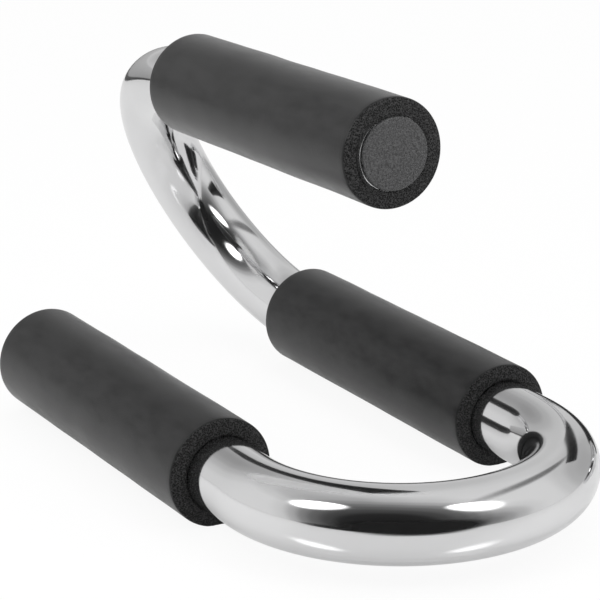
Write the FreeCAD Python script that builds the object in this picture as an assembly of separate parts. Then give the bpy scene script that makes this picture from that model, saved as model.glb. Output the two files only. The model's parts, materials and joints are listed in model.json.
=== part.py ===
import FreeCAD, Part
import math
import os

from FreeCAD import Vector

# Push-up bar bent from one chromed tube, with foam sleeves on its three runs. Millimetres.
# The origin lies on the floor, in the middle of the bar's outline seen from above.
# +X points from the outer foot to the inner foot, +Y towards the arch at the rear, +Z up.

# Tube
tube_diameter = 25.0
tube_wall = 1.2
tube_edge_break = 0.3
tube_end_stand = 0.3

# Runs of the tube
foot_spacing = 106.0
inner_foot_straight = 148.5
handle_rise = 97.3
handle_end_lift = 4.5

# The arch is this much wider than a half circle, because its bend eases into the handle
arch_easing = 4.8
arch_easing_radius = 95.0

# Foam sleeves
sleeve_wall = 5.2
sleeve_fit = 0.05
sleeve_edge_radius = 0.8
floor_flat_depth = 0.3
handle_grip_length = 133.5
outer_sleeve_length = 131.0
outer_bare_length = 20.0
inner_bare_length = 18.5
inner_rear_bare_length = 2.0

# End plugs
plug_rim_inset = 0.8
plug_head_height = 1.3
plug_head_edge_radius = 0.6
plug_fit = 0.05
plug_fin_count = 4
plug_fin_height = 1.95
plug_fin_tip = 0.6
plug_fin_slope = 1.8
plug_fin_pitch = 3.6
plug_shank_neck = 2.4
plug_shank_tail = 1.4
plug_shank_wall = 1.6

# Cutting tools reach this far past what they cut
cut_overrun = 1.0

UP = Vector(0, 0, 1)
REARWARD = Vector(0, 1, 0)
FORWARD = Vector(0, -1, 0)

# Sizes that follow from the ones above
tube_radius = tube_diameter / 2
tube_bore_radius = tube_radius - tube_wall
sleeve_radius = tube_radius + sleeve_wall
base_bend_radius = foot_spacing / 2
handle_straight = handle_grip_length + tube_end_stand
outer_foot_straight = outer_bare_length + outer_sleeve_length + tube_end_stand
inner_sleeve_length = inner_foot_straight - inner_bare_length - inner_rear_bare_length

# The arch leans from the inner foot to the handle, which stands over the middle of the feet.
# Its round crown stops at an angle where the easier bend takes over and meets the handle's tilt.
arch_span = math.hypot(base_bend_radius, handle_rise)
crown_radius = (arch_span - arch_easing) / 2
handle_tilt = math.asin(handle_end_lift * arch_span / (handle_rise * handle_straight))
easing_gain = arch_easing_radius - crown_radius
easing_reach = arch_easing_radius * math.cos(handle_tilt) - arch_easing - crown_radius
crown_stop = math.acos(easing_reach / easing_gain)

# Heights above the floor, and places along the bar that leave its outline centred
foot_height = sleeve_radius - floor_flat_depth
base_bend_y = (base_bend_radius - inner_foot_straight - crown_radius) / 2
arch_y = base_bend_y + inner_foot_straight

ACROSS_ARCH = Vector(-base_bend_radius, 0, handle_rise) / arch_span
HANDLE_FORWARD = ACROSS_ARCH * math.sin(handle_tilt) + FORWARD * math.cos(handle_tilt)


# A point on a bend of the arch, turned from the across direction towards the rear
def arch_point(centre, radius, angle):
    return centre + (ACROSS_ARCH * math.cos(angle) + REARWARD * math.sin(angle)) * radius


# Points on the tube's centre line, from the outer foot's cut end to the handle's cut end
outer_foot_end = Vector(-base_bend_radius, base_bend_y + outer_foot_straight, foot_height)
outer_foot_front = Vector(-base_bend_radius, base_bend_y, foot_height)
base_bend_front = Vector(0, base_bend_y - base_bend_radius, foot_height)
inner_foot_front = Vector(base_bend_radius, base_bend_y, foot_height)
inner_foot_rear = Vector(base_bend_radius, arch_y, foot_height)
crown_centre = inner_foot_rear + ACROSS_ARCH * crown_radius
crown_middle = arch_point(crown_centre, crown_radius, (math.pi + crown_stop) / 2)
crown_end = arch_point(crown_centre, crown_radius, crown_stop)
easing_centre = arch_point(crown_centre, -easing_gain, crown_stop)
easing_middle = arch_point(easing_centre, arch_easing_radius, (crown_stop + handle_tilt) / 2)
handle_rear = arch_point(easing_centre, arch_easing_radius, handle_tilt)
handle_end = handle_rear + HANDLE_FORWARD * handle_straight


# The only flat faces of a plain rod are its cut ends
def cut_end_rims(rod):
    cut_ends = [face for face in rod.Faces if isinstance(face.Surface, Part.Plane)]
    return [edge for face in cut_ends for edge in face.Edges]


def centre_line():
    runs = [
        Part.LineSegment(outer_foot_end, outer_foot_front),
        Part.Arc(outer_foot_front, base_bend_front, inner_foot_front),
        Part.LineSegment(inner_foot_front, inner_foot_rear),
        Part.Arc(inner_foot_rear, crown_middle, crown_end),
        Part.Arc(crown_end, easing_middle, handle_rear),
        Part.LineSegment(handle_rear, handle_end),
    ]
    return Part.Wire([run.toShape() for run in runs])


def rod_along(path, radius):
    section = Part.Wire(Part.Circle(outer_foot_end, FORWARD, radius).toShape())
    return path.makePipeShell([section], True, False)


# One tube swept through both bends, hollow from end to end, its cut ends deburred
def make_bent_tube():
    path = centre_line()
    rod = rod_along(path, tube_radius)
    rod = rod.makeChamfer(tube_edge_break, cut_end_rims(rod))
    return rod.cut(rod_along(path, tube_bore_radius))


# A foam sleeve, cut square from a longer length, with softened outer edges
def make_sleeve(front, rearward, length):
    foam = Part.makeCylinder(sleeve_radius, length, front, rearward)
    foam = foam.makeFillet(sleeve_edge_radius, cut_end_rims(foam))
    return foam.cut(Part.makeCylinder(tube_radius + sleeve_fit, length, front, rearward))


# A foot's sleeve settles on the floor along a narrow flat
def make_foot_sleeve(front, length):
    cut_depth = floor_flat_depth + cut_overrun
    cut_width = sleeve_radius + sleeve_radius
    corner = front - Vector(sleeve_radius, 0, foot_height + cut_depth)
    below_floor = Part.makeBox(cut_width, length, cut_depth, corner)
    return make_sleeve(front, REARWARD, length).cut(below_floor)


# Half section of a plug: a thin head over the tube's rim, then a hollow shank with barbed fins
def plug_profile():
    head_radius = tube_radius - plug_rim_inset
    fin_radius = tube_bore_radius - plug_fit
    shank_radius = fin_radius - plug_fin_height
    hollow_radius = shank_radius - plug_shank_wall
    hollow_top = plug_head_height - plug_shank_wall
    edge_inset = plug_head_edge_radius * (1 - math.sqrt(1 / 2))
    face_centre = Vector(0, 0, plug_head_height)
    edge_start = Vector(head_radius - plug_head_edge_radius, 0, plug_head_height)
    edge_middle = Vector(head_radius - edge_inset, 0, plug_head_height - edge_inset)
    edge_stop = Vector(head_radius, 0, plug_head_height - plug_head_edge_radius)
    outline = [edge_stop, Vector(head_radius, 0, 0), Vector(shank_radius, 0, 0)]
    for fin in range(plug_fin_count):
        fin_root = plug_shank_neck + fin * plug_fin_pitch
        fin_land = fin_root + plug_fin_tip
        fin_stop = fin_land + plug_fin_slope
        outline.append(Vector(shank_radius, 0, -fin_root))
        outline.append(Vector(fin_radius, 0, -fin_root))
        outline.append(Vector(fin_radius, 0, -fin_land))
        outline.append(Vector(shank_radius, 0, -fin_stop))
    shank_end = fin_stop + plug_shank_tail
    outline.append(Vector(shank_radius, 0, -shank_end))
    outline.append(Vector(hollow_radius, 0, -shank_end))
    outline.append(Vector(hollow_radius, 0, hollow_top))
    outline.append(Vector(0, 0, hollow_top))
    outline.append(face_centre)
    face_line = Part.LineSegment(face_centre, edge_start).toShape()
    rounded_edge = Part.Arc(edge_start, edge_middle, edge_stop).toShape()
    return Part.Wire([face_line, rounded_edge] + Part.makePolygon(outline).Edges)


def make_end_plug(tube_end, outward):
    plug = Part.Face(plug_profile()).revolve(Vector(0, 0, 0), UP)
    plug.Placement = FreeCAD.Placement(tube_end, FreeCAD.Rotation(UP, outward))
    return plug


handle_rearward = -HANDLE_FORWARD
handle_grip_front = handle_end + handle_rearward * tube_end_stand
inner_sleeve_front = inner_foot_front + REARWARD * inner_bare_length
outer_sleeve_front = outer_foot_front + REARWARD * outer_bare_length

nodes = {
    "bent_tube": make_bent_tube(),
    "handle_grip": make_sleeve(handle_grip_front, handle_rearward, handle_grip_length),
    "inner_foot_sleeve": make_foot_sleeve(inner_sleeve_front, inner_sleeve_length),
    "outer_foot_sleeve": make_foot_sleeve(outer_sleeve_front, outer_sleeve_length),
    "handle_end_plug": make_end_plug(handle_end, HANDLE_FORWARD),
    "foot_end_plug": make_end_plug(outer_foot_end, REARWARD),
}

os.makedirs("parts", exist_ok=True)
for name, shape in nodes.items():
    shape.exportStep(f"parts/{name}.step")
    print(name, "solids:", len(shape.Solids), "valid:", shape.isValid(), "volume:", round(shape.Volume))
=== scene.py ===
# %% [markdown]
# # A push-up bar in chrome and foam
# The bar is one steel tube, bent twice and chromed, with a foam sleeve on each of its three straight
# runs and a plastic plug in each open end. The CAD model gives every size and place, in metres, so each
# piece here is modelled where the CAD piece is and nothing has to be fitted by eye.

# %% Load the CAD model
import json
import math

import bmesh
import bpy
from mathutils import Matrix, Quaternion, Vector


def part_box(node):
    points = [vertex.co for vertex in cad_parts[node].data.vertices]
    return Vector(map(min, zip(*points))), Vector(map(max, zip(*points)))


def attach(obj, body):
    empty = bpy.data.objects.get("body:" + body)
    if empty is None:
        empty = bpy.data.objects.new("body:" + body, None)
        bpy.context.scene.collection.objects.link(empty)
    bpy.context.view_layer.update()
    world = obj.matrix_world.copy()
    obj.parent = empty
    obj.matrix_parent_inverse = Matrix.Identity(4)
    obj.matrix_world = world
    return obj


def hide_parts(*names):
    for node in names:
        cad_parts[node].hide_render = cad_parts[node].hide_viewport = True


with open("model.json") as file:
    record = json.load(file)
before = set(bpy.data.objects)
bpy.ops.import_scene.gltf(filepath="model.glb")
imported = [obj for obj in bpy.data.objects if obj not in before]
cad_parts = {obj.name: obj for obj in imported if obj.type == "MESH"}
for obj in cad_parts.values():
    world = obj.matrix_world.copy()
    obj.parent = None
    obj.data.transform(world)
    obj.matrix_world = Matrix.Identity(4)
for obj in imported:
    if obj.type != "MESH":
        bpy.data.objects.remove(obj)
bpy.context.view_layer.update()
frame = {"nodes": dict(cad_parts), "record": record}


def in_mm(length, digits=2):
    return round(length * 1000, digits)


# %% [markdown]
# ## Camera
# A long lens from about 0.9 m away keeps the three runs nearly parallel, as in a product photograph.
# The camera could be turned by hand until the picture looks right. Here it is aimed from one point at
# another, because then its place can be read and changed, and the small roll is added afterwards.

# %% Aim the camera
camera_place = Vector((-0.40991, -0.72234, 0.31278))
camera_target = Vector((0.00363, -0.00747, 0.05264))
camera_roll = math.radians(-0.1)
lens_mm = 153.8
sensor_mm = 36

bpy.ops.object.camera_add(location=camera_place)
camera = bpy.context.object
camera.name = "product_camera"
camera.rotation_mode = "QUATERNION"
facing = (camera_target - camera_place).to_track_quat("-Z", "Y")
camera.rotation_quaternion = facing @ Quaternion((0, 0, 1), camera_roll)
camera.data.lens = lens_mm
camera.data.sensor_width = sensor_mm
bpy.context.scene.camera = camera
print("camera to target in mm:", in_mm((camera_target - camera_place).length, 0))

# %% [markdown]
# ## Where the runs lie
# The boxes of the CAD pieces and the mounts in the record give the tube's radius, the axes of the two
# feet and the axis of the handle. Reading them here, instead of typing them again, keeps the scene true
# to the CAD model. The handle's mount leaves out the rounded rims of its sleeve, so they are added.

# %% Read the axes and radii
REARWARD = Vector((0, 1, 0))
cad_rim_radius = 0.0008
tube_low, tube_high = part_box("bent_tube")
inner_low, inner_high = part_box("inner_foot_sleeve")
outer_low, outer_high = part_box("outer_foot_sleeve")
mounts = {mount["name"]: mount for mount in frame["record"]["mounts"]}
hold = mounts["handle_hold"]

foot_x = mounts["inner_foot_rest"]["pos_m"][0]
tube_radius = tube_high.x - foot_x
foot_z = tube_low.z + tube_radius
foam_radius = hold["dims"]["r_mm"] / 1000
handle_middle = Vector(hold["pos_m"])
handle_forward = Vector(hold["axis"]).normalized()
handle_grip_length = hold["dims"]["length_mm"] / 1000 + cad_rim_radius * 2
print("tube radius, foam radius and foot height in mm:")
print([in_mm(size) for size in (tube_radius, foam_radius, foot_z)])

# %% [markdown]
# ## Picking parts of a mesh
# By hand you would click the rims and faces to work on. In a script they are picked by where they are
# or which way they face. Blender's operators act on everything that is selected, so each helper starts
# by letting go of whatever was selected before.

# %% Helpers to take hold of a piece
def take(piece):
    bpy.ops.object.select_all(action="DESELECT")
    piece.select_set(True)
    bpy.context.view_layer.objects.active = piece


def pick(piece, kind, wanted):
    bpy.ops.mesh.select_mode(type=kind)
    bpy.ops.mesh.select_all(action="DESELECT")
    shape = bmesh.from_edit_mesh(piece.data)
    parts = {"VERT": shape.verts, "EDGE": shape.edges, "FACE": shape.faces}[kind]
    chosen = [part for part in parts if wanted(part)]
    for part in chosen:
        part.select_set(True)
    shape.select_flush_mode()
    bmesh.update_edit_mesh(piece.data)
    return len(chosen)


# %% [markdown]
# ## Foam sleeves
# A sleeve is a length of thick-walled foam hose, pushed over the tube. Its outside has a smooth moulded
# skin and its ends are cut, so they show open cells. A cylinder gives the outside, a bevel rounds the
# cut rims a little, and insets work inwards across each end to the bore, which bridging then joins.
# The foam is too firm to hang or fold, so it is shaped directly and not simulated as cloth.

# %% Work across a cut end to the bore
cut_ring_count = 14
bore_clearance = 0.00005
bore_radius = tube_radius + bore_clearance
mouth_width = 0.0009
mouth_sinks = (0.00004, 0.0001, 0.00025)
mouth_ring_count = len(mouth_sinks)


def shape_cut_end(outer_radius, dome):
    ring_width = (outer_radius - bore_radius - mouth_width) / cut_ring_count
    first_rise = dome * 2 / (cut_ring_count + 1)
    for ring in range(cut_ring_count):
        bpy.ops.mesh.inset(thickness=ring_width, depth=first_rise * (1 - ring / cut_ring_count))
    for sink in mouth_sinks:
        bpy.ops.mesh.inset(thickness=mouth_width / mouth_ring_count, depth=-sink)
    bpy.ops.mesh.delete(type="FACE")


print("bore radius in mm:", in_mm(bore_radius))

# %% Model one plain sleeve
foam_segments = 288
foam_ring_count = 72
rim_segments = 6
flat_facing = 0.999


def make_sleeve(name, middle, rearward, length, radius, rims, dome):
    bpy.ops.object.select_all(action="DESELECT")
    turn = rearward.to_track_quat("Z", "X").to_euler()
    bpy.ops.mesh.primitive_cylinder_add(vertices=foam_segments, radius=radius, depth=length,
                                        location=middle, rotation=turn)
    sleeve = bpy.context.object
    sleeve.name = name
    end = length / 2
    bpy.ops.object.mode_set(mode="EDIT")
    for side, rim in zip((-1, 1), rims):
        pick(sleeve, "EDGE", lambda edge: sum(vert.co.z for vert in edge.verts) * side > end)
        bpy.ops.mesh.bevel(offset=rim, segments=rim_segments, affect="EDGES")
        pick(sleeve, "FACE", lambda face: face.normal.z * side > flat_facing)
        shape_cut_end(radius - rim, dome)
    pick(sleeve, "EDGE", lambda edge: edge.is_boundary)
    bpy.ops.mesh.bridge_edge_loops()
    wall_middle = (bore_radius + radius) / 2
    pick(sleeve, "EDGE", lambda edge: edge.calc_length() > end and
         edge.verts[0].co.xy.length > wall_middle)
    bpy.ops.mesh.subdivide(number_cuts=foam_ring_count)
    bpy.ops.object.mode_set(mode="OBJECT")
    print(name, "has", len(sleeve.data.polygons), "faces")
    return sleeve


# %% [markdown]
# Foam that is pushed over steel creeps along it and swells at its cut ends, so no two sleeves on the bar
# are quite alike. One function makes all three. What differs is named here: how round the rims are, how
# far an end creeps past the CAD sleeve, how much its cut face domes and how much stouter the foam is.

# %% Make the handle's sleeve
handle_rims = (0.0011, 0.0008)
handle_dome = 0.0006
handle_rear_creep = 0.002

handle_foam_middle = handle_middle - handle_forward * handle_rear_creep / 2
handle_foam_length = handle_grip_length + handle_rear_creep
handle_sleeve = make_sleeve("handle_foam", handle_foam_middle, -handle_forward, handle_foam_length,
                            foam_radius, handle_rims, handle_dome)

# %% Make the two foot sleeves
foot_rim = 0.0009
foot_dome = 0.0009
inner_front_creep = 0.0008
inner_rear_creep = 0.001
inner_swell = 0.00015
outer_front_creep = 0.0012
outer_swell = 0.0004


def make_foot_sleeve(name, x, front, rear, swell):
    middle = Vector((x, (front + rear) / 2, foot_z))
    return make_sleeve(name, middle, REARWARD, rear - front, foam_radius + swell,
                       (foot_rim, foot_rim), foot_dome)


inner_sleeve = make_foot_sleeve("inner_foot_foam", foot_x, inner_low.y - inner_front_creep,
                                inner_high.y + inner_rear_creep, inner_swell)
outer_sleeve = make_foot_sleeve("outer_foot_foam", -foot_x, outer_low.y - outer_front_creep,
                                outer_high.y, outer_swell)
sleeves = [handle_sleeve, inner_sleeve, outer_sleeve]

# %% [markdown]
# Nothing stretches the foam past the ends of the tube, so there its mouth closes over the steel rim, up
# to the plug. The three rings of such a mouth are drawn in and outward, from the bore to the crest of
# that lip. On one side it is opened again in three steps, and leaves a thin bright line of steel.

# %% Draw a mouth in to a lip
ring_tolerance = 0.00002
mouth_slack = 0.000008
lip_overlap = 0.000692
lip_edge_rise = 0.0002
lip_crest_rise = 0.00049
lip_rings = [(bore_radius + mouth_slack, 0), (tube_radius - lip_overlap, lip_edge_rise),
             (bore_radius + mouth_slack * 2, lip_crest_rise)]


def draw_mouth_in(sleeve, end, outward, side, dome):
    for ring, (radius, rise) in enumerate(lip_rings):
        old_radius = bore_radius + mouth_width * ring / mouth_ring_count
        depth = sum(mouth_sinks[:mouth_ring_count - ring])
        count = pick(sleeve, "VERT", lambda vert: vert.co.z * side > 0 and
                     abs(vert.co.xy.length - old_radius) < ring_tolerance)
        bpy.ops.transform.resize(value=[radius / old_radius] * 3,
                                 center_override=end + outward * (dome - depth))
        bpy.ops.transform.translate(value=outward * (depth + rise))
        print(sleeve.name, "ring of", count, "points drawn in to", in_mm(radius), "mm")


# %% Open the lip on one side
lip_spread = 1.018
opening_half_angles = (62, 52, 42)


def open_lip(sleeve, end, outward, side, dome, opening_side):
    lip_height = (sleeve.location - end).length + dome + lip_edge_rise / 2
    lip_middle = end + outward * (dome + lip_edge_rise)
    for half_angle in opening_half_angles:
        reach = math.cos(math.radians(half_angle))
        count = pick(sleeve, "VERT", lambda vert: vert.co.z * side > lip_height and
                     vert.co.xy.dot(opening_side) > vert.co.xy.length * reach)
        bpy.ops.transform.resize(value=[lip_spread] * 3, center_override=lip_middle)
        print(sleeve.name, "lip opened at", count, "points")


# %% Close the foam over the tube's two ends
handle_opening = Vector((0, -1))
outer_foot_opening = Vector((0.7, 0.7))


def close_mouth(sleeve, end, outward, side, dome, opening_side):
    take(sleeve)
    bpy.ops.object.mode_set(mode="EDIT")
    draw_mouth_in(sleeve, end, outward, side, dome)
    open_lip(sleeve, end, outward, side, dome, opening_side)
    bpy.ops.object.mode_set(mode="OBJECT")


handle_front = handle_middle + handle_forward * handle_grip_length / 2
outer_foot_rear = Vector((-foot_x, outer_high.y, foot_z))
close_mouth(handle_sleeve, handle_front, handle_forward, -1, handle_dome, handle_opening)
close_mouth(outer_sleeve, outer_foot_rear, REARWARD, 1, foot_dome, outer_foot_opening)

# %% [markdown]
# ## Skin and cut ends of the foam
# Moulded foam is never quite round: its skin rises and sinks by a tenth of a millimetre or so, and the
# cut ends are rough where the blade opened the cells. Both could be bump in the material, but then the
# outline would stay as perfect as a turned rod, so the mesh itself is pushed in and out by soft noise.

# %% Helpers to push a mesh by soft noise
def add_clouds(name, size, detail):
    clouds = bpy.data.textures.new(name, type="CLOUDS")
    clouds.noise_scale = size
    clouds.noise_depth = detail
    return clouds


def group_picked(piece, name, kind, wanted):
    take(piece)
    group = piece.vertex_groups.new(name=name)
    bpy.ops.object.mode_set(mode="EDIT")
    count = pick(piece, kind, wanted)
    bpy.ops.object.vertex_group_assign()
    bpy.ops.object.mode_set(mode="OBJECT")
    print(name, "of", piece.name, "holds", count, kind.lower() + "s")
    return group.name


def push_by(piece, clouds, height, group):
    push = piece.modifiers.new(clouds.name, "DISPLACE")
    push.texture = clouds
    push.texture_coords = "LOCAL"
    push.strength = height
    push.vertex_group = group


def apply_all(piece):
    take(piece)
    for modifier in list(piece.modifiers):
        bpy.ops.object.modifier_apply(modifier=modifier.name)


# %% Let the skin wander and roughen the cuts
skin_waves = add_clouds("foam_skin_waves", size=0.028, detail=1)
skin_wave_height = 0.00035
cut_cells = add_clouds("foam_cut_cells", size=0.0009, detail=2)
cut_cell_height = 0.0002
cut_facing = 0.7

for sleeve in sleeves:
    skin = group_picked(sleeve, "skin", "VERT",
                        lambda vert: vert.co.xy.length > foam_radius - foot_rim)
    cuts = group_picked(sleeve, "cut_ends", "FACE", lambda face: abs(face.normal.z) > cut_facing)
    bpy.ops.object.transform_apply(location=True, rotation=True, scale=True)
    push_by(sleeve, skin_waves, skin_wave_height, skin)
    push_by(sleeve, cut_cells, cut_cell_height, cuts)
    apply_all(sleeve)

# %% [markdown]
# The two lower sleeves carry the bar, so their foam is pressed flat in a narrow strip along the floor.
# Everything that hangs below the floor is scaled to no height at all, about the floor itself.

# %% Flatten the feet on the floor
for sleeve in (inner_sleeve, outer_sleeve):
    take(sleeve)
    bpy.ops.object.mode_set(mode="EDIT")
    count = pick(sleeve, "VERT", lambda vert: vert.co.z < 0)
    bpy.ops.transform.resize(value=(1, 1, 0), center_override=(0, 0, 0))
    bpy.ops.object.mode_set(mode="OBJECT")
    print(sleeve.name, "rests on", count, "points")

# %% [markdown]
# ## Bent tube
# The tube is bent cold round a former, so its section stays round all the way. A curve with a bevel
# would draw it in one go. Here a ring is extruded along each straight run and spun round each bend
# instead, which is what the bending machine does and leaves even faces for clean reflections.
# The arch over the rear turns tightly first and then eases into the handle, so it has two centres.

# %% Find the bends
base_bend_radius = foot_x
base_bend_centre = Vector((0, tube_low.y + tube_radius + base_bend_radius, foot_z))
crown_radius = base_bend_radius
arch_easing_radius = 0.095
inner_foot_rear = Vector((foot_x, tube_high.y - tube_radius - crown_radius, foot_z))
handle_rear = handle_middle - handle_forward * handle_grip_length / 2
across_arch = handle_rear - inner_foot_rear
across_arch.y = 0
arch_span = across_arch.length
across_arch.normalize()
arch_axis = across_arch.cross(REARWARD)
handle_tilt = math.asin(handle_forward.dot(across_arch))
easing_reach = arch_easing_radius * math.cos(handle_tilt) + crown_radius - arch_span
crown_stop = math.acos(easing_reach / (arch_easing_radius - crown_radius))
crown_centre = inner_foot_rear + across_arch * crown_radius
easing_way = across_arch * math.cos(crown_stop) + REARWARD * math.sin(crown_stop)
easing_centre = crown_centre - easing_way * (arch_easing_radius - crown_radius)
print("crown turns", round(180 - math.degrees(crown_stop), 1), "degrees")
print("easier bend turns", round(math.degrees(crown_stop - handle_tilt), 1), "degrees")

# %% Start the tube with a ring at the outer foot's end
tube_segments = 96
tube_end_stand = 0.0003
outer_foot_end = Vector((-foot_x, outer_high.y + tube_end_stand, foot_z))
handle_straight = handle_grip_length + tube_end_stand

bpy.ops.object.select_all(action="DESELECT")
bpy.ops.mesh.primitive_circle_add(vertices=tube_segments, radius=tube_radius, location=outer_foot_end,
                                  rotation=(math.pi / 2, 0, 0))
tube = bpy.context.object
tube.name = "chromed_tube"
bpy.ops.object.transform_apply(location=True, rotation=True, scale=True)
print("handle's straight run in mm:", in_mm(handle_straight))

# %% Draw the tube through its runs and bends
foot_ring_count = 20
handle_ring_count = 18
base_bend_steps = 90
crown_steps = 76
easing_steps = 13
weld_distance = 0.000001
base_bend_start = base_bend_centre - Vector((foot_x, 0, 0))
base_bend_stop = base_bend_centre + Vector((foot_x, 0, 0))


def run_straight(way, rings):
    for ring in range(rings):
        bpy.ops.mesh.extrude_region_move(TRANSFORM_OT_translate={"value": way / rings})


bpy.ops.object.mode_set(mode="EDIT")
bpy.ops.mesh.select_all(action="SELECT")
run_straight(base_bend_start - outer_foot_end, foot_ring_count)
bpy.ops.mesh.spin(steps=base_bend_steps, angle=math.pi, center=base_bend_centre, axis=(0, 0, -1))
run_straight(inner_foot_rear - base_bend_stop, foot_ring_count)
bpy.ops.mesh.spin(steps=crown_steps, angle=math.pi - crown_stop, center=crown_centre, axis=arch_axis)
bpy.ops.mesh.spin(steps=easing_steps, angle=crown_stop - handle_tilt, center=easing_centre,
                  axis=arch_axis)
run_straight(handle_forward * handle_straight, handle_ring_count)
bpy.ops.mesh.select_all(action="SELECT")
bpy.ops.mesh.remove_doubles(threshold=weld_distance)
bpy.ops.mesh.normals_make_consistent(inside=False)
bpy.ops.object.mode_set(mode="OBJECT")

handle_end = handle_rear + handle_forward * handle_straight
ring_reach = tube_radius + weld_distance * 10
last_ring = [vert for vert in tube.data.vertices if (vert.co - handle_end).length < ring_reach]
print(len(last_ring), "of", tube_segments, "points of the last ring stand round the handle's end")

# %% [markdown]
# A tube has a wall. Solidify thickens the skin inwards, so that the outside keeps its size, and a small
# bevel breaks the sharp rims as a deburring tool does.

# %% Give the tube its wall and broken rims
wall = tube.modifiers.new("tube_wall", "SOLIDIFY")
wall.thickness = 0.0012
wall.offset = -1
broken_rims = tube.modifiers.new("broken_rims", "BEVEL")
broken_rims.width = 0.00055
broken_rims.segments = 5
broken_rims.limit_method = "ANGLE"
broken_rims.angle_limit = math.radians(50)
apply_all(tube)
bpy.ops.object.shade_smooth_by_angle(angle=math.radians(40))
print("chromed_tube has", len(tube.data.polygons), "faces")

# %% [markdown]
# ## Materials
# Every finish is built from nodes on object coordinates, which are metres here, so a noise scale of
# 1000 makes grains of about a millimetre. Values that are the same all over go straight on the shader.
# Noise stays mostly between 0.3 and 0.7, so that is the stretch which is spread over a finish's range.

# %% Helpers for node materials
def add_node(owner, kind):
    return owner.node_tree.nodes.new(kind)


def join(owner, output, socket):
    owner.node_tree.links.new(output, socket)


def new_finish(name):
    finish = bpy.data.materials.new(name)
    finish.use_nodes = True
    shader = finish.node_tree.nodes["Principled BSDF"]
    place = add_node(finish, "ShaderNodeTexCoord").outputs["Object"]
    return finish, shader, place


def add_noise(finish, place, scale, detail):
    noise = add_node(finish, "ShaderNodeTexNoise")
    noise.inputs["Scale"].default_value = scale
    noise.inputs["Detail"].default_value = detail
    join(finish, place, noise.inputs["Vector"])
    return noise.outputs["Fac"]


# %% Helpers to spread a pattern over a finish
noise_low = 0.3
noise_high = 0.7


def add_shades(finish, value, dark, light, start=noise_low, stop=noise_high):
    ramp = add_node(finish, "ShaderNodeValToRGB")
    ramp.color_ramp.elements[0].position = start
    ramp.color_ramp.elements[0].color = (*dark, 1)
    ramp.color_ramp.elements[1].position = stop
    ramp.color_ramp.elements[1].color = (*light, 1)
    join(finish, value, ramp.inputs["Fac"])
    return ramp.outputs["Color"]


def add_range(finish, value, low, high):
    spread = add_node(finish, "ShaderNodeMapRange")
    spread.inputs["From Min"].default_value = noise_low
    spread.inputs["From Max"].default_value = noise_high
    spread.inputs["To Min"].default_value = low
    spread.inputs["To Max"].default_value = high
    join(finish, value, spread.inputs["Value"])
    return spread.outputs["Result"]


def add_bump(finish, shader, height, depth):
    bump = add_node(finish, "ShaderNodeBump")
    bump.inputs["Strength"].default_value = 1
    bump.inputs["Distance"].default_value = depth
    join(finish, height, bump.inputs["Height"])
    join(finish, bump.outputs["Normal"], shader.inputs["Normal"])


# %% [markdown]
# ### Foam skin
# The skin is nearly black and dull, with a soft sheen where the eye meets it at a low angle. One dark
# grey would do from afar, but a moulded skin is patchy. One noise, drawn out along the runs, varies its
# colour, roughness and shine together, and a finer one gives it a faint grain.

# %% Foam skin
skin_dark = (0.0075, 0.0075, 0.0077)
skin_light = (0.0142, 0.0142, 0.0145)
drawn_out = (1, 0.4, 1)

foam_skin, shader, place = new_finish("foam_skin")
drawn = add_node(foam_skin, "ShaderNodeMapping")
drawn.inputs["Scale"].default_value = drawn_out
join(foam_skin, place, drawn.inputs["Vector"])
patches = add_noise(foam_skin, drawn.outputs["Vector"], scale=280, detail=5)
join(foam_skin, add_shades(foam_skin, patches, skin_dark, skin_light), shader.inputs["Base Color"])
join(foam_skin, add_range(foam_skin, patches, 0.31, 0.42), shader.inputs["Roughness"])
join(foam_skin, add_range(foam_skin, patches, 0.28, 0.4), shader.inputs["Specular IOR Level"])
add_bump(foam_skin, shader, add_noise(foam_skin, place, scale=2200, detail=3), depth=0.00005)
shader.inputs["Sheen Weight"].default_value = 0.26
shader.inputs["Sheen Roughness"].default_value = 0.3
print("foam_skin has", len(foam_skin.node_tree.nodes), "nodes")

# %% [markdown]
# ### Foam cut
# The cut ends are the same foam, but light falls into the open cells, so they are darker and speckled.
# A Voronoi pattern has the shape of such cells: it is dark in the middle of each and light at its walls.

# %% Foam cut
cell_dark = (0.0005, 0.0005, 0.0005)
cell_light = (0.056, 0.056, 0.0565)

foam_cut, shader, place = new_finish("foam_cut")
voronoi = add_node(foam_cut, "ShaderNodeTexVoronoi")
voronoi.inputs["Scale"].default_value = 2000
join(foam_cut, place, voronoi.inputs["Vector"])
cells = voronoi.outputs["Distance"]
join(foam_cut, add_shades(foam_cut, cells, cell_dark, cell_light, start=0.25, stop=0.8),
     shader.inputs["Base Color"])
shader.inputs["Roughness"].default_value = 0.7
shader.inputs["Specular IOR Level"].default_value = 0.2
add_bump(foam_cut, shader, cells, depth=0.0003)
print("foam_cut has", len(foam_cut.node_tree.nodes), "nodes")

# %% Put skin and cut on the sleeves
for sleeve in sleeves:
    take(sleeve)
    sleeve.data.materials.append(foam_skin)
    sleeve.data.materials.append(foam_cut)
    sleeve.active_material_index = 1
    along = -handle_forward if sleeve is handle_sleeve else REARWARD
    bpy.ops.object.mode_set(mode="EDIT")
    count = pick(sleeve, "FACE", lambda face: abs(face.normal.dot(along)) > cut_facing)
    bpy.ops.object.material_slot_assign()
    bpy.ops.object.mode_set(mode="OBJECT")
    bpy.ops.object.shade_smooth_by_angle(angle=math.radians(60))
    print(sleeve.name, "shows cut foam on", count, "faces")

# %% [markdown]
# ### Chrome
# Chrome plating is a mirror that swallows nearly a third of the light. A metal with one value all over
# would look too perfect. The steel below is bent and polished by hand, so the mirror has a faint
# ripple, and fine smears make it a little duller in places.

# %% Chrome plating
chrome_dull = (0.69, 0.69, 0.695)
chrome_bright = (0.73, 0.73, 0.735)

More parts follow.
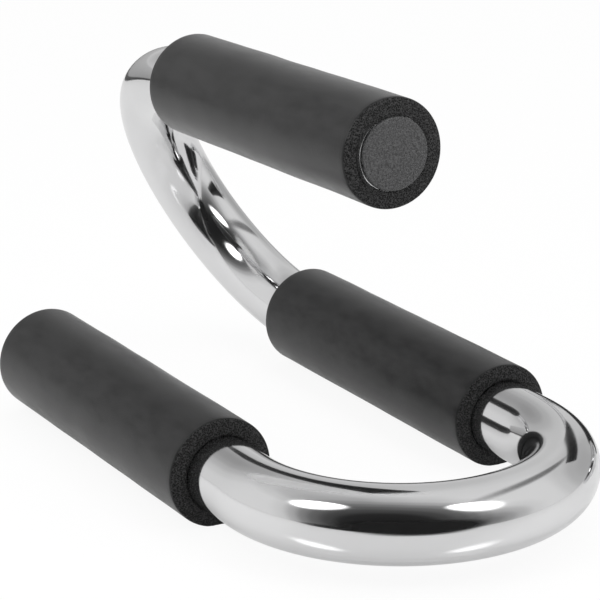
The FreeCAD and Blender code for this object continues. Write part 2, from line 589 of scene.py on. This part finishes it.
chrome, shader, place = new_finish("chrome_plating")
smears = add_noise(chrome, place, scale=35, detail=5)
join(chrome, add_shades(chrome, smears, chrome_dull, chrome_bright), shader.inputs["Base Color"])
join(chrome, add_range(chrome, smears, 0.06, 0.11), shader.inputs["Roughness"])
add_bump(chrome, shader, add_noise(chrome, place, scale=45, detail=2), depth=0.00002)
shader.inputs["Metallic"].default_value = 1
tube.data.materials.append(chrome)
print("chrome_plating has", len(chrome.node_tree.nodes), "nodes")

# %% [markdown]
# ### Plug plastic
# The plugs are moulded in a sand-grained tool, which leaves a leathery face that sparkles a little. The
# CAD plugs already have the right shape, so they stay and only get this finish. One noise gives their
# colour, gloss and grain, because a grain that stands up is also the one that is rubbed paler.

# %% Grained plastic on the CAD plugs
plug_dark = (0.02, 0.02, 0.0205)
plug_light = (0.095, 0.095, 0.097)

plug_plastic, shader, place = new_finish("plug_plastic")
grain = add_noise(plug_plastic, place, scale=1700, detail=3)
join(plug_plastic, add_shades(plug_plastic, grain, plug_dark, plug_light), shader.inputs["Base Color"])
join(plug_plastic, add_range(plug_plastic, grain, 0.2, 0.35), shader.inputs["Roughness"])
add_bump(plug_plastic, shader, grain, depth=0.0004)
for name in ("handle_end_plug", "foot_end_plug"):
    plug = frame["nodes"][name]
    plug.data.materials.clear()
    plug.data.materials.append(plug_plastic)
    print(name, "is grained plastic")

# %% [markdown]
# ## Table
# The bar stands on a white table. Its material is matt white, and a share of plain glow takes over for
# what the camera, a mirror or glass sees, so that the table stays white around the bar and only a light
# shadow is left. What the chrome mirrors of the table has a trace of gloss as well, which repeats the
# soft boxes dimly from below.

# %% Lay the table
bpy.ops.object.select_all(action="DESELECT")
bpy.ops.mesh.primitive_plane_add(size=12)
table = bpy.context.object
table.name = "white_table"
print("table in mm:", [in_mm(side, 0) for side in table.dimensions])

# %% Helpers to combine values and shaders
def clear_nodes(owner):
    owner.use_nodes = True
    owner.node_tree.nodes.clear()


def add_math(owner, operation, first, second):
    math_node = add_node(owner, "ShaderNodeMath")
    math_node.operation = operation
    join(owner, first, math_node.inputs[0])
    if isinstance(second, float):
        math_node.inputs[1].default_value = second
    else:
        join(owner, second, math_node.inputs[1])
    return math_node.outputs["Value"]


def mix_shaders(owner, share, first, second):
    blend = add_node(owner, "ShaderNodeMixShader")
    join(owner, share, blend.inputs["Fac"])
    join(owner, first.outputs[0], blend.inputs[1])
    join(owner, second.outputs[0], blend.inputs[2])
    return blend


# %% White for the table
table_paint = (0.96, 0.96, 0.96, 1)
camera_glow = 0.92
mirror_glow = 0.5
gloss_share = 0.16
gloss_roughness = 0.1

table_white = bpy.data.materials.new("table_white")
clear_nodes(table_white)
matt = add_node(table_white, "ShaderNodeBsdfDiffuse")
matt.inputs["Color"].default_value = table_paint
glow = add_node(table_white, "ShaderNodeEmission")
gloss = add_node(table_white, "ShaderNodeBsdfGlossy")
gloss.inputs["Roughness"].default_value = gloss_roughness
seen = add_node(table_white, "ShaderNodeLightPath").outputs
mirrored = add_math(table_white, "MAXIMUM", seen["Is Glossy Ray"], seen["Is Transmission Ray"])
to_camera = add_math(table_white, "MULTIPLY", seen["Is Camera Ray"], camera_glow)
to_mirror = add_math(table_white, "MULTIPLY", mirrored, mirror_glow)
paper = mix_shaders(table_white, add_math(table_white, "MAXIMUM", to_camera, to_mirror), matt, glow)
top = mix_shaders(table_white, add_math(table_white, "MULTIPLY", mirrored, gloss_share), paper, gloss)
surface = add_node(table_white, "ShaderNodeOutputMaterial")
join(table_white, top.outputs["Shader"], surface.inputs["Surface"])
table.data.materials.append(table_white)
print("table_white has", len(table_white.node_tree.nodes), "nodes")

# %% [markdown]
# ## Room
# Chrome has no colour of its own: it shows the room. Here the room is pale, with dimmer parts of its
# walls and ceiling, and dark on the side behind the camera, which gives the tube its dark streak. A
# picture of a real room could be wrapped round the scene, but then no part of it could be changed. So
# each part is a broad soft spot round one direction, faded by how far a direction turns away from it.

# %% An empty room
UPWARD = Vector((0, 0, 1))


def aim(azimuth, elevation):
    turn, rise = math.radians(azimuth), math.radians(elevation)
    return Vector((math.sin(turn) * math.cos(rise), math.cos(turn) * math.cos(rise), math.sin(rise)))


world = bpy.data.worlds.new("studio_room")
bpy.context.scene.world = world
clear_nodes(world)
way = add_node(world, "ShaderNodeTexCoord").outputs["Generated"]
print("straight to the rear is", list(aim(0, 0)))


# %% Helpers for a soft spot
def compare_with(direction):
    compared = add_node(world, "ShaderNodeVectorMath")
    compared.operation = "DOT_PRODUCT"
    compared.inputs[1].default_value = direction
    join(world, way, compared.inputs[0])
    return compared.outputs["Value"]


def add_spot(middle, fade, pinch=0.0):
    closeness = compare_with(middle)
    if pinch:
        sideways = compare_with(middle.cross(UPWARD).normalized() * math.sqrt(pinch))
        squared = add_math(world, "MULTIPLY", sideways, sideways)
        closeness = add_math(world, "SUBTRACT", closeness, squared)
    ramp = add_node(world, "ShaderNodeValToRGB")
    ramp.color_ramp.interpolation = "EASE"
    stops = ramp.color_ramp.elements
    while len(stops) < len(fade):
        stops.new(1.0)
    for stop, (angle, level) in zip(stops, sorted(fade, reverse=True)):
        stop.position = max(0.0, math.cos(math.radians(angle)))
        stop.color = (level, level, level, 1)
    join(world, closeness, ramp.inputs["Fac"])
    return ramp.outputs["Color"]


# %% [markdown]
# Each fade is a list of angles from the middle of a spot, in degrees, and the light that is left there.
# The dark side is pinched, so that it is narrower sideways than it is tall.

# %% Dim and dark parts of the room
dark_side_fade = [(0, 0.022), (28, 0.03), (38, 0.085), (48, 0.18), (55, 0.32), (62, 0.6), (70, 0.9),
                  (80, 1.0)]
dark_side = add_spot(aim(-144, 20), dark_side_fade, pinch=0.25)
ceiling = add_spot(aim(0, 90), [(0, 0.74), (20, 0.86), (60, 0.86), (90, 0.86)])
left_ceiling = add_spot(aim(-65, 66), [(0, 0.66), (12, 0.72), (22, 0.88), (32, 1.0)])
rear = add_spot(aim(20, 20), [(0, 0.84), (30, 0.88), (50, 0.96), (70, 1.0), (90, 1.0)])
rear_wall = add_spot(aim(2, 33), [(0, 0.52), (10, 0.60), (18, 0.75), (28, 0.9), (38, 1.0)])
right_wall = add_spot(aim(75, 10), [(0, 0.58), (15, 0.65), (25, 0.85), (35, 1.0)])
right_corner = add_spot(aim(160, 10), [(0, 0.3), (12, 0.45), (20, 0.66), (30, 0.92), (40, 1.0)])

room_level = dark_side
for part in (ceiling, left_ceiling, rear, rear_wall, right_wall, right_corner):
    room_level = add_math(world, "MULTIPLY", room_level, part)
room_light = add_node(world, "ShaderNodeBackground")
join(world, room_level, room_light.inputs["Color"])
room_output = add_node(world, "ShaderNodeOutputWorld")
join(world, room_light.outputs["Background"], room_output.inputs["Surface"])
print("studio_room has", len(world.node_tree.nodes), "nodes")

# %% [markdown]
# ## Soft boxes
# Two oval soft boxes stand to the left and in front, and leave oval highlights on both bends. A wide,
# weak light overhead brings the table up to white and stays out of the mirrors. A lamp's power is its
# radiance times pi times its area, so the boxes can change size and stay as bright to the eye.

# %% Hang the lights
def add_soft_box(name, place, target, width, height, radiance):
    bpy.ops.object.light_add(type="AREA", location=place)
    box = bpy.context.object
    box.name = name
    box.rotation_euler = (Vector(target) - Vector(place)).to_track_quat("-Z", "Y").to_euler()
    box.data.shape = "ELLIPSE"
    box.data.size = width
    box.data.size_y = height
    box.data.energy = radiance * math.pi * width * height * math.pi / 4
    box.visible_camera = False
    print(name, "has", round(box.data.energy, 2), "W")
    return box


left_box = add_soft_box("left_soft_box", place=(-0.287, -0.103, 0.331), target=(0.1, 0.2, 0.27),
                        width=0.225, height=0.28, radiance=6.0)
right_box = add_soft_box("right_soft_box", place=(0.080, -0.298, 0.293), target=(0, 0.3, 0.33),
                         width=0.155, height=0.34, radiance=5.0)
top_light = add_soft_box("overhead_light", place=(0, 0, 1.6), target=(0, 0.001, 0),
                         width=2.4, height=2.4, radiance=1.15)
top_light.visible_glossy = False

# %% [markdown]
# A real soft box is brightest in its middle, because the lamp sits behind it. The light's own nodes
# fade it from a bright core to nothing at the rim, so that its mirror images have soft edges.

# %% Fade the soft boxes to their rims
box_middle = (0.5, 0.5, 0)
box_core = 0.2
box_rim = 0.5

for box in (left_box, right_box):
    box.data.use_nodes = True
    reach = add_node(box.data, "ShaderNodeVectorMath")
    reach.operation = "DISTANCE"
    reach.inputs[1].default_value = box_middle
    join(box.data, add_node(box.data, "ShaderNodeNewGeometry").outputs["Parametric"], reach.inputs[0])
    fade = add_node(box.data, "ShaderNodeMapRange")
    fade.interpolation_type = "SMOOTHSTEP"
    fade.inputs["From Min"].default_value = box_core
    fade.inputs["From Max"].default_value = box_rim
    fade.inputs["To Min"].default_value = 1
    fade.inputs["To Max"].default_value = 0
    join(box.data, reach.outputs["Value"], fade.inputs["Value"])
    emission = box.data.node_tree.nodes["Emission"]
    join(box.data, fade.outputs["Result"], emission.inputs["Strength"])
    print(box.name, "fades from", box_core, "to", box_rim, "of its width")

# %% [markdown]
# ## Cards for the mirrors
# A black card stands low between the bar and the camera, below the picture, and a dark rail further out
# along the table. Photographers use such things to give chrome its dark streaks. A pale card hangs over
# the bar and lifts the arch. All three fade out round their edges and show in mirrors only.

# %% Helpers for a card
def show_in_mirrors_only(prop):
    prop.visible_camera = False
    prop.visible_diffuse = False
    prop.visible_transmission = False
    prop.visible_shadow = False


def add_card(name, middle, along, facing, half_length, half_width, finish):
    along = along.normalized()
    upright = facing.cross(along).normalized()
    outward = along.cross(upright)
    bpy.ops.object.select_all(action="DESELECT")
    bpy.ops.mesh.primitive_plane_add(size=2, location=middle)
    card = bpy.context.object
    card.name = name
    card.rotation_euler = Matrix((along, upright, outward)).transposed().to_euler()
    card.scale = (half_length, half_width, 1)
    card.data.materials.append(finish)
    show_in_mirrors_only(card)
    print(name, "is", in_mm(half_length * 2, 0), "by", in_mm(half_width * 2, 0), "mm")


# %% Gauze that fades out round its edge
def gauze(name, level, cover, soft_edge):
    finish, shader, place = new_finish(name)
    shader.inputs["Base Color"].default_value = (level, level, level, 1)
    shader.inputs["Roughness"].default_value = 1
    blot = add_node(finish, "ShaderNodeTexGradient")
    blot.gradient_type = "SPHERICAL"
    join(finish, place, blot.inputs["Vector"])
    edge = add_node(finish, "ShaderNodeMapRange")
    edge.interpolation_type = "SMOOTHSTEP"
    edge.inputs["From Max"].default_value = soft_edge
    edge.inputs["To Max"].default_value = cover
    join(finish, blot.outputs["Fac"], edge.inputs["Value"])
    join(finish, edge.outputs["Result"], shader.inputs["Alpha"])
    return finish


# %% Black card, dark rail and pale card
card_way = aim(-150, 0)
card_distance = 0.12
add_card("black_card", middle=Vector((0, -0.13, 0.045)) + card_way * card_distance, along=aim(120, 0),
         facing=-card_way, half_length=0.14, half_width=0.055,
         finish=gauze("card_black", level=0.01, cover=1.0, soft_edge=0.4))
add_card("dark_rail", middle=Vector((-0.258, -0.419, 0.02)), along=aim(-55, 0),
         facing=-aim(-145, 0), half_length=0.5, half_width=0.06,
         finish=gauze("rail_black", level=0.02, cover=1.0, soft_edge=0.4))
add_card("pale_card", middle=Vector((-0.06, 0.05, 0.25)), along=Vector((-0.79, 0.61, 0)),
         facing=-UPWARD, half_length=0.17, half_width=0.075,
         finish=gauze("card_white", level=0.85, cover=1.0, soft_edge=0.5))

# %% [markdown]
# Such bars are used in pairs, so a second one stands to the right, outside the picture. Its copies of
# the pieces are there for the mirrors only, like a soft dark strip over it.

# %% Second bar and strip
twin_offset = Vector((0.210, 0.014, 0))
for piece in [tube] + sleeves:
    take(piece)
    bpy.ops.object.duplicate(linked=False)
    twin = bpy.context.object
    twin.name = "twin_" + piece.name
    twin.location = twin_offset
    show_in_mirrors_only(twin)
    print(twin.name, "stands", in_mm(twin_offset.x, 0), "mm to the right")

strip_way = Vector((0.73, 0.66, 0.18))
strip_start = Vector((-0.389, -0.799, 0.300))
strip_distance = 1.3
strip_middle = strip_start + strip_way * strip_distance
strip_target = Vector((0.03, -0.05, 0.04))
add_card("dark_strip", middle=strip_middle, along=strip_way, facing=strip_target - strip_middle,
         half_length=0.8, half_width=0.075,
         finish=gauze("strip_grey", level=0.05, cover=0.75, soft_edge=0.7))

# %% [markdown]
# A grey screen with a dark foot closes the table at the rear. Each of the two is a card that glows by
# itself, as painted light in place of a lit screen, dimmer at the bottom than at the top, since only
# their bent mirror images are seen.

# %% Screen at the rear
def glowing_screen_finish(name, low, high):
    finish = bpy.data.materials.new(name)
    clear_nodes(finish)
    height = add_node(finish, "ShaderNodeSeparateXYZ")
    join(finish, add_node(finish, "ShaderNodeTexCoord").outputs["Object"], height.inputs[0])
    # Painted light: the card's glow stands in for light on a screen, rising from low at the bottom to
    # high at the top.
    level = add_node(finish, "ShaderNodeMapRange")
    level.inputs["From Min"].default_value = -1
    level.inputs["To Min"].default_value = low
    level.inputs["To Max"].default_value = high
    join(finish, height.outputs["Y"], level.inputs["Value"])
    glow = add_node(finish, "ShaderNodeEmission")
    join(finish, level.outputs["Result"], glow.inputs["Strength"])
    surface = add_node(finish, "ShaderNodeOutputMaterial")
    join(finish, glow.outputs[0], surface.inputs["Surface"])
    return finish


rightward = Vector((1, 0, 0))
screen_half_length = 0.675
add_card("rear_screen", middle=Vector((0.225, 0.83, 0.1)), along=rightward, facing=-REARWARD,
         half_length=screen_half_length, half_width=0.1,
         finish=glowing_screen_finish("screen_painted_glow", low=0.34, high=0.55))
add_card("screen_foot", middle=Vector((0.225, 0.82, 0.015)), along=rightward, facing=-REARWARD,
         half_length=screen_half_length, half_width=0.016,
         finish=glowing_screen_finish("foot_painted_glow", low=0.06, high=0.12))

# %% [markdown]
# ## Tie the pieces to their bodies
# Each new piece is tied to the CAD body it moves with, and the CAD piece that it stands for is hidden.

# %% Ride and hide the CAD pieces
bpy.context.scene.view_settings.view_transform = "Standard"
stands_for = {
    "chromed_tube": ("bent_tube", "chromed_steel"),
    "handle_foam": ("handle_grip", "foam"),
    "inner_foot_foam": ("inner_foot_sleeve", "foam"),
    "outer_foot_foam": ("outer_foot_sleeve", "foam"),
}
for name, (node, slot) in stands_for.items():
    piece = bpy.data.objects[name]
    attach(piece, "root")
    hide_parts(node)
